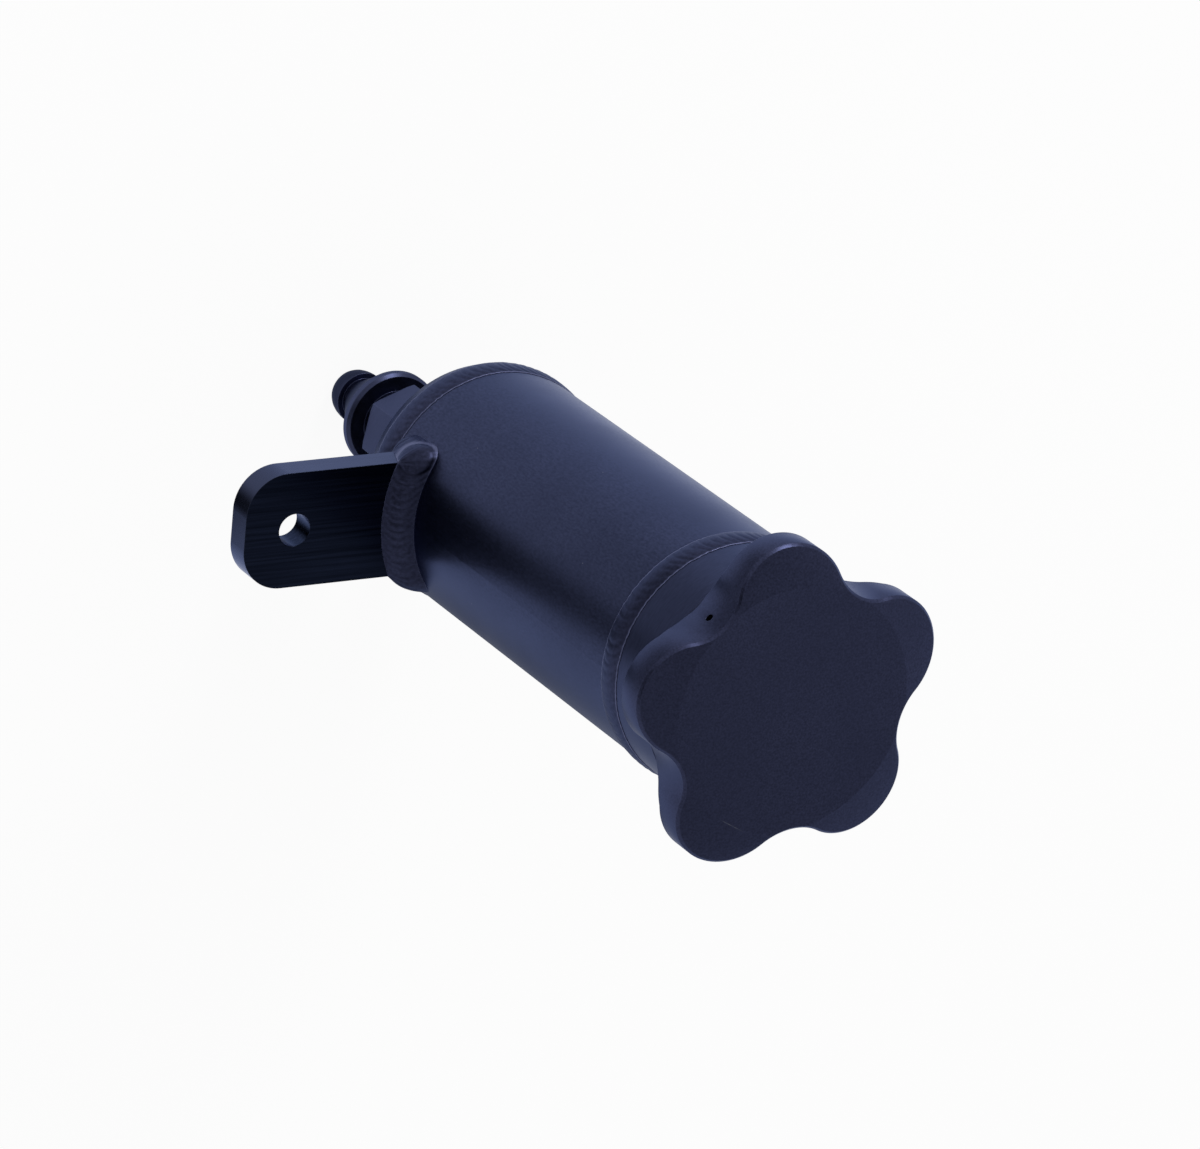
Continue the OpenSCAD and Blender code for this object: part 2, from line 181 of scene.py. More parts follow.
# What is uneven along a weld: each one's own seed and how fine its waves are
DRIFT = (0, 3)
LOW_TOE = (2, 9)
HIGH_TOE = (4, 9)
SWELL = (6, 5)
PATCHES = (8, 12)
WAVES = 4
SEED_STEP = 7.3


def wobble(turn, seed, trait):
    """A smooth value from -1 to 1 that closes on itself once round the weld."""
    seed += trait[0]
    at = Vector((math.cos(turn), math.sin(turn), seed)) * (WAVES * trait[1])
    return noise.noise(at + Vector((0, 0, SEED_STEP * seed)))


def scallop(phase):
    """Height of one ripple: a round back and a narrow valley, from 0 to 1."""
    return abs(math.sin(math.pi * phase)) ** RIPPLE_POWER


def ring_row(turn, ripples, joint_z, seed):
    """One section of a round weld, with each point's painted highlight at the toes and painted shade in
    the ripple valleys.
    """
    drift = RIPPLE_DRIFT * wobble(turn, seed, DRIFT)
    low_toe = -BEAD_HALF + TOE_WOBBLE * max(wobble(turn, seed, LOW_TOE) + TOE_BIAS, 0)
    high_toe = BEAD_HALF - TOE_WOBBLE * max(wobble(turn, seed, HIGH_TOE) + TOE_BIAS, 0)
    swell = 1 - SWELL_SHARE * abs(wobble(turn, seed, SWELL))
    row, painted_light_and_tone = [], []
    for j in range(BEAD_STEPS + 1):
        across = math.sin(math.pi * (j / BEAD_STEPS - 0.5))
        z = low_toe + (high_toe - low_toe) * (across + 1) / 2
        from_toe = min((z - low_toe) / LOW_LIP_SHARE, high_toe - z)
        lip = 1 - ramp(from_toe, LIP_FLAT * LIP_W, LIP_W)
        crown = (1 - across * across) ** CROWN_POWER
        phase = ripples * turn / FULL_TURN + drift + RIPPLE_SAG * across * across + RIPPLE_SLANT * across
        valley = (1 - scallop(phase)) * ramp(from_toe, 0, 2 * LIP_W)
        rise = (BEAD_H * swell - LIP_H) * crown + LIP_H * ramp(from_toe, LIP_FOOT, LIP_RISE * LIP_W)
        height = min(max(rise - RIPPLE_H * valley, 0), BEAD_H)
        row.append(on_axis(TUBE_R + SEAM + height, turn, joint_z + z))
        # Painted highlight along the toes' lips, less painted shade in the ripple valleys
        pale = lip * (1 - LIP_PATCHY + LIP_PATCHY * wobble(turn, seed, PATCHES))
        painted_light_and_tone.append(pale - RIPPLE_PAINTED_SHADE * valley)
    row.append(on_axis(TUBE_R - ROOT_SINK, turn, joint_z + ROOT))
    row.append(on_axis(TUBE_R - ROOT, turn, joint_z))
    row.append(on_axis(TUBE_R - ROOT_SINK, turn, joint_z - ROOT))
    return row, painted_light_and_tone + [0, 0, 0]


def weld_mesh(name, sections, node):
    """A closed bead through its sections, which stands for a CAD node of the tank."""
    bead = grid_mesh(name, [row for row, _ in sections], around=True, closed=True)
    store_painted_light_and_tone(bead, [painted_light_and_tone for _, painted_light_and_tone in sections])
    smooth(bead, BEAD_CREASE)
    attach(bead, "tank")
    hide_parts(node)
    return bead


def ring_bead(name, joint_z, node, seed):
    """A round weld with crescent ripples and fine lips at its toes."""
    ripples = round(FULL_TURN * TUBE_R / RIPPLE_PITCH)
    steps = ripples * RIPPLE_STEPS
    return weld_mesh(name, [ring_row(FULL_TURN * i / steps, ripples, joint_z, seed)
                            for i in range(steps)], node)


# The tab's weld

TAB_HALF_W = (tab_high.y - tab_low.y) / 2
TAB_HALF_T = (tab_high.z - tab_low.z) / 2
OVER_TUBE_LEG = 5.9 * MM
OVER_TAB_LEG = 8.3 * MM
UNDER_TUBE_LEG = 5.2 * MM
UNDER_TAB_LEG = 5.4 * MM
NEAR_LEG_SHARE = 0.8
FAR_LEG_SHARE = 1.06
EDGE_BULGE_SHARE = 1.7
FILLET_BULGE = 1 * MM
FILLET_STEPS = 20
STATION_STEP = 0.3 * MM
CORNER_STEPS = 22
CORNER_LEG_SHARE = 0.8

TAB_RIPPLE_PITCH = 2.5 * MM
TAB_RIPPLE_H = 0.3 * MM
TAB_RIPPLE_SAG = 1.3
TAB_RIPPLE_DRIFT = 0.3
# Painted shade in the tab weld's ripple valleys
TAB_RIPPLE_PAINTED_SHADE = 0.45
TAB_RIPPLE_EVEN = 0.8
TAB_RIPPLE_PATCHY = 0.3
TAB_RIPPLE_WIDE = 2.6
TAB_SWELL_SHARE = 0.03
TAB_SEED = 11
TAB_SWELL = (0, 4)
TAB_DRIFT = (4, 3)
TAB_PATCHES = (6, 6)
# Painted highlight along the tab weld's toes
TAB_LIP_HIGHLIGHT = 0.6
TAB_LIP_START = 0.5
TAB_LIP_STEPS = 2.2

PUDDLE_FACING = math.radians(140)
PUDDLE_SHARE = 0.56
PUDDLE_R = 5.3 * MM
PUDDLE_RISE = 0.42 * MM
PUDDLE_FLAT = 0.2
PUDDLE_WIDE = 2
PUDDLE_EDGE = (PUDDLE_R - 0.2 * MM, PUDDLE_R + 0.6 * MM)
PUDDLE_STEP_W = 0.5 * MM
# Painted shadow below the puddle's step and a painted highlight toward its dish's rim; PUDDLE_DARK is the
# puddle's own darker tone
PUDDLE_STEP_SHADOW = 0.75
PUDDLE_RIM_HIGHLIGHT = 0.3
PUDDLE_DARK = 0.25
NEAR_PUDDLE = (PUDDLE_R, PUDDLE_R + 3 * MM)
# Extra painted highlight on the lips near the puddle
NEAR_LIP_HIGHLIGHT = 0.2
NEAR_LIP_STEPS = 2
HALO = (PUDDLE_R + 1.5 * MM, PUDDLE_R + 5 * MM)
HALO_FACING = (math.radians(105), math.radians(150))
HALO_PALE = 0.5


def tab_path(step):
    """Stations round the tab's root: y, z, direction outwards and distance run."""
    corners = [(TAB_HALF_W, -TAB_HALF_T, 0), (TAB_HALF_W, TAB_HALF_T, 90),
               (-TAB_HALF_W, TAB_HALF_T, 180), (-TAB_HALF_W, -TAB_HALF_T, 270)]
    arc = OVER_TUBE_LEG * CORNER_LEG_SHARE * math.pi / 2
    stations = []
    run = 0.0
    for k, (y, z, facing) in enumerate(corners):
        next_y, next_z, _ = corners[(k + 1) % 4]
        length = math.hypot(next_y - y, next_z - z)
        count = round(length / step)
        for i in range(count):
            share = i / count
            stations.append((y + (next_y - y) * share, z + (next_z - z) * share,
                             math.radians(facing), run + length * share))
        run += length
        for i in range(CORNER_STEPS):
            share = i / CORNER_STEPS
            stations.append((next_y, next_z, math.radians(facing + 90 * share), run + arc * share))
        run += arc
    return stations, run


def tab_point(y, z, facing, along, above):
    """A point so far out from the tab's edge and so far above the tube."""
    y += along * math.cos(facing)
    z += along * math.sin(facing)
    shell = TUBE_R + SEAM + above
    return Vector((AXIS_X + math.sqrt(shell ** 2 - y ** 2), y, z))


def fillet_point(y, z, facing, share, extra, stretch=1.0):
    """A point across the tab's weld, from the tube (0) to the tab (1), raised by extra."""
    up = z / (2 * TAB_HALF_T) + 0.5
    edge = math.cos(facing) ** 2
    leg_share = FAR_LEG_SHARE if math.cos(facing) > 0 else NEAR_LEG_SHARE
    toe = UNDER_TUBE_LEG + (OVER_TUBE_LEG - UNDER_TUBE_LEG) * up
    toe *= stretch * (1 - (1 - leg_share) * edge)
    rise = stretch * (UNDER_TAB_LEG + (OVER_TAB_LEG - UNDER_TAB_LEG) * up)
    bulge = FILLET_BULGE * (1 + (EDGE_BULGE_SHARE - 1) * edge) * math.sin(math.pi * share) + extra
    slant = math.hypot(toe, rise)
    return tab_point(y, z, facing, SEAM + toe * (1 - share) + bulge * rise / slant,
                     rise * share + bulge * toe / slant)


def puddle_form(away):
    """Height, share and tone at a distance from the middle of the last puddle, which lies proud
    of the bead like a shallow dish: its own darker tone inside, a painted highlight toward its rim and a
    painted shadow at the step round it."""
    inside = 1 - ramp(away, *PUDDLE_EDGE)
    dish = min(1, away / PUDDLE_R) ** 2
    step = math.exp(-((away - PUDDLE_R - PUDDLE_STEP_W) / PUDDLE_STEP_W) ** 2)
    height = PUDDLE_RISE * inside * (PUDDLE_FLAT + (1 - PUDDLE_FLAT) * dish)
    return height, inside, (PUDDLE_RIM_HIGHLIGHT * dish - PUDDLE_DARK) * inside - PUDDLE_STEP_SHADOW * step


def tab_row(station, run, ripples, puddle):
    """One section of the tab's weld, with each point's painted highlight, painted shade and puddle tone.
    """
    y, z, facing, at = station
    turn = FULL_TURN * at / run
    stretch = 1 - TAB_SWELL_SHARE * abs(wobble(turn, TAB_SEED, TAB_SWELL))
    drift = TAB_RIPPLE_DRIFT * wobble(turn, TAB_SEED, TAB_DRIFT)
    depth = TAB_RIPPLE_EVEN + TAB_RIPPLE_PATCHY * wobble(turn, TAB_SEED, TAB_PATCHES)
    past_puddle = ramp(facing, *HALO_FACING)
    row, painted_light_and_tone = [tab_point(y, z, facing, SEAM, 0)], [0]
    for j in range(FILLET_STEPS + 1):
        share = (1 + math.cos(math.pi * j / FILLET_STEPS)) / 2
        crown = math.sin(math.pi * share)
        away = (fillet_point(y, z, facing, share, 0) - puddle).length
        height, inside, tone = puddle_form(away)
        halo = (1 - ramp(away, *HALO)) * past_puddle
        phase = ripples * at / run + drift - TAB_RIPPLE_SAG * (2 * share - 1) ** 2
        valley = ((1 - scallop(phase)) * (1 - inside) * (1 - halo)
                  * min(1, TAB_RIPPLE_WIDE * crown) * depth)
        extra = height * min(1, PUDDLE_WIDE * crown) - TAB_RIPPLE_H * valley
        row.append(fillet_point(y, z, facing, share, extra, stretch))
        near = 1 - ramp(away, *NEAR_PUDDLE)
        lip = 1 - ramp(min(j, FILLET_STEPS - j), TAB_LIP_START, TAB_LIP_STEPS + NEAR_LIP_STEPS * near)
        tone += HALO_PALE * halo * (1 - inside)
        # Painted highlight along the lips and painted shade in the ripple valleys
        pale = lip * (TAB_LIP_HIGHLIGHT + NEAR_LIP_HIGHLIGHT * near) + (1 - lip) * tone
        painted_light_and_tone.append(pale - TAB_RIPPLE_PAINTED_SHADE * valley)
    return row, painted_light_and_tone


def tab_bead():
    """The fillet weld round the tab's root, with crescent ripples and its last puddle."""
    stations, run = tab_path(STATION_STEP)
    ripples = round(run / TAB_RIPPLE_PITCH)
    puddle = fillet_point(-TAB_HALF_W, TAB_HALF_T, PUDDLE_FACING, PUDDLE_SHARE, 0)
    return weld_mesh("tab_bead", [tab_row(station, run, ripples, puddle) for station in stations],
                     "tab_weld")


# The screw cap

LOBES = 5
LOBE_REACH = 33.3 * MM
LOBE_R = 17.6 * MM
LOBE_STEPS = 44
VALLEY_R = TUBE_R + 0.1 * MM
VALLEY_STEPS = 26
LOBE_SLOPE = 0.22
LOBE_LIFT = 4.8 * MM
LOBE_CONE = 7.6 * MM
CONE_SHARES = (0.3, 0.6, 0.85)
CHAMFER = 0.8 * MM
CREASE_GAP = 0.4 * MM
CREASE_SOFT = 0.12 * MM
CREASE_RIM = 2 * MM
EDGE_BREAK = 0.5 * MM
EDGE_ROUND = 0.15 * MM
ROUND_SHARES = (0.5, 1.0)
ROUND_IN = 0.12
ROUND_DOWN = 0.2
HAIR = 0.01 * MM
HEAD_CREASE = 24

HALF_TURN = math.pi / LOBES
VALLEY_ARC = ((LOBE_REACH ** 2 + VALLEY_R ** 2 - 2 * LOBE_REACH * VALLEY_R * math.cos(HALF_TURN)
               - LOBE_R ** 2) / (2 * (LOBE_REACH * math.cos(HALF_TURN) + LOBE_R - VALLEY_R)))
VALLEY_REACH = VALLEY_R + VALLEY_ARC
JOIN_TURN = math.atan2(VALLEY_REACH * math.sin(HALF_TURN),
                       VALLEY_REACH * math.cos(HALF_TURN) - LOBE_REACH)

VENT_TURN = math.radians(312.5)
VENT_D = 2.4 * MM
VENT_DROP = 8.7 * MM
VENT_START = 20 * MM
VENT_END = 60 * MM

PLUG_LEN = 14 * MM
PLUG_R = 30.92 * MM
PLUG_WALL = 4.5 * MM
PLUG_EDGE = 0.5 * MM
PLUG_INTO_HEAD = 0.3 * MM
PLUG_SIDES = 144
PLUG_STEPS = 60
PLUG_CREASE = 30
GROOVE_R = 29.07 * MM
SEAT_DEPTH = 3.8 * MM
POCKET_R = GROOVE_R - PLUG_WALL
POCKET_START = 1 * MM
POCKET_RISE = 2 * MM
THREAD_PITCH = 25.4 / 8 * MM
THREAD_H = 1.3 * MM
THREAD_STEEP = 1.7
THREAD_ROOT = 0.25
THREAD_GAP = 0.6 * MM
RUN_IN = 0.8 * MM
RUN_OUT = 1.2 * MM


def lobed_outline(inset):
    """The cap's outline about its axis, set in by a distance."""
    points = []
    for k in range(LOBES):
        middle = VENT_TURN + HALF_TURN * (2 * k + 1)
        local = []
        for i in range(LOBE_STEPS + 1):
            turn = JOIN_TURN * (2 * i / LOBE_STEPS - 1)
            local.append((LOBE_REACH + (LOBE_R - inset) * math.cos(turn),
                          (LOBE_R - inset) * math.sin(turn)))
        for i in range(1, VALLEY_STEPS):
            turn = math.pi + HALF_TURN + (JOIN_TURN - HALF_TURN) * (1 - 2 * i / VALLEY_STEPS)
            local.append((VALLEY_REACH * math.cos(HALF_TURN) + (VALLEY_ARC + inset) * math.cos(turn),
                          VALLEY_REACH * math.sin(HALF_TURN) + (VALLEY_ARC + inset) * math.sin(turn)))
        for x, y in local:
            points.append(Vector((x * math.cos(middle) - y * math.sin(middle),
                                  x * math.sin(middle) + y * math.cos(middle))))
    return points


def face_z(radius):
    """Height of the face, which is flat to the tube's radius and falls over the lobes."""
    return CAP_TOP - LOBE_SLOPE * max(radius - TUBE_R, 0)


def under_z(radius):
    """Height of the underside, which climbs from the neck's edge as a cone."""
    share = min(max((radius - TUBE_R) / LOBE_CONE, 0), 1)
    return MOUTH + max(LOBE_LIFT * share, EDGE_BREAK + HAIR)


def lift(point, z):
    """A point of an outline in its place over the tank, at a height."""
    return Vector((AXIS_X + point.x, point.y, z))


def lifted_ring(outline, radius_of, z_of):
    """The outline moved in or out along its own directions, each point at the height there."""
    ring = []
    for point in outline:
        radius = radius_of(point.length)
        ring.append(lift(point * radius / point.length, z_of(radius)))
    return ring


def wall_rings():
    """Rings from the land on the neck over the cone to the top of the wall."""
    outer = lobed_outline(0)
    rings = [lifted_ring(outer, lambda r: TUBE_R - EDGE_BREAK, lambda r: MOUTH),
             lifted_ring(outer, lambda r: TUBE_R, lambda r: MOUTH + EDGE_BREAK)]
    for share in CONE_SHARES:
        rings.append(lifted_ring(outer, lambda r: TUBE_R + (r - TUBE_R) * share, under_z))
    rings.append([lift(point, under_z(point.length)) for point in lobed_outline(EDGE_ROUND)])
    for share in ROUND_SHARES:
        inset = EDGE_ROUND * (1 - math.sin(share * math.pi / 2))
        rise = EDGE_ROUND * (1 - math.cos(share * math.pi / 2))
        rings.append([lift(point, under_z(point.length) + rise) for point in lobed_outline(inset)])
    return rings


def chamfer_rings():
    """Rings over the chamfer, with both of its edges lightly rounded."""
    half = 0.5 * EDGE_ROUND
    profile = [(0, CHAMFER + half), (ROUND_IN * EDGE_ROUND, CHAMFER + ROUND_DOWN * half),
               (half, CHAMFER - half), (CHAMFER - half, half),
               (CHAMFER - ROUND_DOWN * half, ROUND_IN * EDGE_ROUND), (CHAMFER + half, 0)]
    return [[lift(point, face_z(point.length) - drop) for point in lobed_outline(inset)]
            for inset, drop in profile]


def face_rings():
    """Rings over the lobes' fall, the crease and the rim of the flat middle."""
    inner = lobed_outline(CHAMFER + 0.5 * EDGE_ROUND)

    def crease(radius):
        return min(TUBE_R, radius - CREASE_GAP)

    return [lifted_ring(inner, lambda r: (r + crease(r)) / 2, face_z),
            lifted_ring(inner, lambda r: crease(r) + CREASE_SOFT, face_z),
            lifted_ring(inner, crease, lambda r: CAP_TOP),
            lifted_ring(inner, lambda r: crease(r) - CREASE_SOFT, lambda r: CAP_TOP),
            lifted_ring(inner, lambda r: crease(r) - CREASE_RIM, lambda r: CAP_TOP)]


def cap_head():
    """The lobed head as one closed skin."""
    return grid_mesh("cap_head", wall_rings() + chamfer_rings() + face_rings(), around=True, ends=True)


def plug_radius(turn, below):
    """Radius of the plug at a depth below the mouth: groove, then a thread with its run-out."""
    if below < SEAT_DEPTH:
        return GROOVE_R
    cycle = (below / THREAD_PITCH + turn / FULL_TURN) % 1
    tooth = min(1, max(0, THREAD_STEEP * abs(2 * cycle - 1) - THREAD_ROOT))
    fade = min(1, max(0, (below - SEAT_DEPTH - THREAD_GAP) / RUN_IN))
    fade *= min(1, max(0, (PLUG_LEN - below - THREAD_GAP) / RUN_OUT))
    return PLUG_R - THREAD_H * (1 - tooth) * fade


def cap_plug():
    """The threaded plug under the head, hollow from below."""
    depths = [-PLUG_INTO_HEAD, SEAT_DEPTH - HAIR, SEAT_DEPTH]
    depths += [SEAT_DEPTH + (PLUG_LEN - PLUG_EDGE - SEAT_DEPTH) * i / PLUG_STEPS
               for i in range(1, PLUG_STEPS + 1)]
    turns = [FULL_TURN * i / PLUG_SIDES for i in range(PLUG_SIDES)]
    rows = [[on_axis(plug_radius(turn, depth), turn, MOUTH - depth) for turn in turns]
            for depth in depths]
    for radius, depth in ((PLUG_R - PLUG_EDGE, PLUG_LEN), (POCKET_R + PLUG_EDGE, PLUG_LEN),
                          (POCKET_R, PLUG_LEN - PLUG_EDGE), (POCKET_R, -PLUG_INTO_HEAD)):
        rows.append([on_axis(radius, turn, MOUTH - depth) for turn in turns])
    return grid_mesh("cap_plug", rows, around=True, closed=True)


def cut(piece, tool):
    """Takes the tool's shape out of the piece and removes the tool."""
    step = piece.modifiers.new("cut", "BOOLEAN")
    step.operation = "DIFFERENCE"
    step.solver = "EXACT"
    step.object = tool
    bpy.context.view_layer.objects.active = piece
    bpy.ops.object.modifier_apply(modifier=step.name)
    bpy.data.objects.remove(tool)


def rod(radius, start, end, sides=40):
    """A closed cylinder between two points."""
    level = (end - start).to_track_quat("Z", "Y").to_matrix()
    turns = [FULL_TURN * i / sides for i in range(sides)]
    rows = [[at + level @ Vector((radius * math.cos(turn), radius * math.sin(turn), 0)) for turn in turns]
            for at in (start, end)]
    return grid_mesh("rod", rows, around=True, ends=True)


def screw_cap():
    """The cap's head with its pocket and vent, and the plug below it."""
    head = cap_head()
    cut(head, rod(POCKET_R, on_axis(0, 0, MOUTH - POCKET_START), on_axis(0, 0, MOUTH + POCKET_RISE),
                  PLUG_SIDES))
    vent_z = CAP_TOP - VENT_DROP
    cut(head, rod(VENT_D / 2, on_axis(VENT_START, VENT_TURN, vent_z),
                  on_axis(VENT_END, VENT_TURN, vent_z)))
    smooth(head, HEAD_CREASE)
    plug = smooth(cap_plug(), PLUG_CREASE)
    for piece in (head, plug):
        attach(piece, "cap")
    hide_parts("screw_cap")
    return [head, plug]


# Node trees

def rgb(r, g, b):
    """A colour as the sockets take it."""
    return (r, g, b, 1)


def shade(tint, share, add=0.0):
    """A tint made lighter or darker."""
    return rgb(*(min(1, c * share + add) for c in tint))


class Nodes:
    """Short calls that build a node tree."""

    def __init__(self, tree):
        self.tree = tree

    def add(self, kind, settings=(), **inputs):
        """A new node with its settings and its inputs, whose names have _ for a space."""
        node = self.tree.nodes.new(kind)
        for key, value in dict(settings).items():
            setattr(node, key, value)
        for key, value in inputs.items():
            self.plug(node, key.replace("_", " "), value)
        return node

    def plug(self, node, socket, value):
        """Gives a socket a value or a link."""
        target = node.inputs[int(socket) if socket.isdigit() else socket]
        if isinstance(value, bpy.types.NodeSocket):
            self.tree.links.new(value, target)
        else:
            target.default_value = value

    def remap(self, value, low, high, from_low=0.3, from_high=0.7, soft=False):
        """low up to from_low and high from from_high on. A noise lies mostly from 0.3 to 0.7."""
        kind = "SMOOTHSTEP" if soft else "LINEAR"
        node = self.add("ShaderNodeMapRange", {"interpolation_type": kind}, Value=value)
        node.inputs["From Min"].default_value = from_low
        node.inputs["From Max"].default_value = from_high
        node.inputs["To Min"].default_value = low
        node.inputs["To Max"].default_value = high
        return node.outputs["Result"]

    def math(self, operation, a, b=0.0):
        node = self.add("ShaderNodeMath", {"operation": operation})
        self.plug(node, "0", a)
        self.plug(node, "1", b)
        return node.outputs[0]

    def distance(self, x, y):
        squares = self.math("ADD", self.math("MULTIPLY", x, x), self.math("MULTIPLY", y, y))
        return self.math("SQRT", squares)

    def mix(self, share, a, b):
        """Two colours mixed. Sockets 0, 6 and 7 are the share and the two colours."""
        node = self.add("ShaderNodeMix", {"data_type": "RGBA"})
        self.plug(node, "0", share)
        self.plug(node, "6", a)
        self.plug(node, "7", b)
        return node.outputs[2]

    def split(self, vector):
        return self.add("ShaderNodeSeparateXYZ", Vector=vector).outputs


# Finishes

SPECK_CORE = 0.4
BEVEL_SAMPLES = 6
EDGE_RANGE = (0.86, 0.995)
LINE_SOFT = (0.3, 1)
LINE_ENDS = (0.6, 1)


class Shader(Nodes):
    """A surface material."""

    def __init__(self, name):
        self.material = bpy.data.materials.new(name)
        self.material.use_nodes = True
        super().__init__(self.material.node_tree)
        self.surface = self.tree.nodes["Principled BSDF"]
        self.place = self.add("ShaderNodeTexCoord").outputs["Object"]

    def mapped(self, socket, value):
        """The place on the object, stretched (Scale) or shifted (Location)."""
        mapping = self.add("ShaderNodeMapping", Vector=self.place)
        mapping.inputs[socket].default_value = value
        return mapping.outputs["Vector"]

    def noise(self, scale, detail=4, place=None):
        node = self.add("ShaderNodeTexNoise", Vector=place or self.place, Scale=scale, Detail=detail)
        return node.outputs["Fac"]

    def specks(self, scale, radius):
        """1 on small sparse spots, 0 elsewhere. The radius is in metres."""
        cells = self.add("ShaderNodeTexVoronoi", Vector=self.place, Scale=scale)
        return self.remap(cells.outputs["Distance"], 1, 0, SPECK_CORE * radius * scale, radius * scale)

    def stroke(self, start, end, width):
        """1 on a fine line between two points of the object, 0 off it."""
        way = end - start
        mapping = self.add("ShaderNodeMapping", {"vector_type": "TEXTURE"}, Vector=self.place)
        mapping.inputs["Location"].default_value = (start + end) / 2
        mapping.inputs["Rotation"].default_value = (0, 0, math.atan2(way.y, way.x))
        mapping.inputs["Scale"].default_value = (way.length / 2, width / 2, width)
        x, y, z = self.split(mapping.outputs["Vector"])
        line = self.remap(self.math("ABSOLUTE", y), 1, 0, *LINE_SOFT)
        for axis in (x, z):
            line = self.math("MULTIPLY", line, self.remap(self.math("ABSOLUTE", axis), 1, 0, *LINE_ENDS))
        return line

    def edges(self, radius):
        """1 on the edges within radius and 0 on the flats, and the rounded normal."""
        bevel = self.add("ShaderNodeBevel", {"samples": BEVEL_SAMPLES}, Radius=radius)
        geometry = self.add("ShaderNodeNewGeometry")
        along = self.add("ShaderNodeVectorMath", {"operation": "DOT_PRODUCT"})
        self.plug(along, "0", bevel.outputs["Normal"])
        self.plug(along, "1", geometry.outputs["Normal"])
        return self.remap(along.outputs["Value"], 1, 0, *EDGE_RANGE), bevel.outputs["Normal"]

    def bump(self, height, distance, normal):
        """A surface raised by height times distance, over a normal."""
        return self.add("ShaderNodeBump", Height=height, Distance=distance, Strength=1.0,
                        Normal=normal).outputs["Normal"]


EDGE_TINT = rgb(0.64, 0.70, 0.93)
CLOUD_SHARE = 0.3
CLOUD_SHADE = 0.78
CLOUD_GLOSS = (-0.02, 0.03)
BRUSH_GLOSS = 0.03
# The lighter, broken edges are partly wear and partly a painted highlight
WEAR_AND_HIGHLIGHT_SCALE = 420
WEAR_AND_HIGHLIGHT_SHARE = (0.1, 0.7)
WEAR_AND_HIGHLIGHT_TONE = (2.0, 0.012)
SPECK_TINT = rgb(0.30, 0.31, 0.36)
SCRATCH_TINT = rgb(0.11, 0.12, 0.16)
SCRATCH_BREAKS = 900
# Tones for the welds' painted highlight and painted shade, and how much less metallic the highlight is
PAINTED_HIGHLIGHT_TONE = (4.0, 0.02)
PAINTED_SHADE_TONE = 0.35
HIGHLIGHT_CHALKY = 0.5
UPRIGHT = (0.3, 0.8)
TURNING_WAVES = 20
TURNING_UNEVEN = 0.4


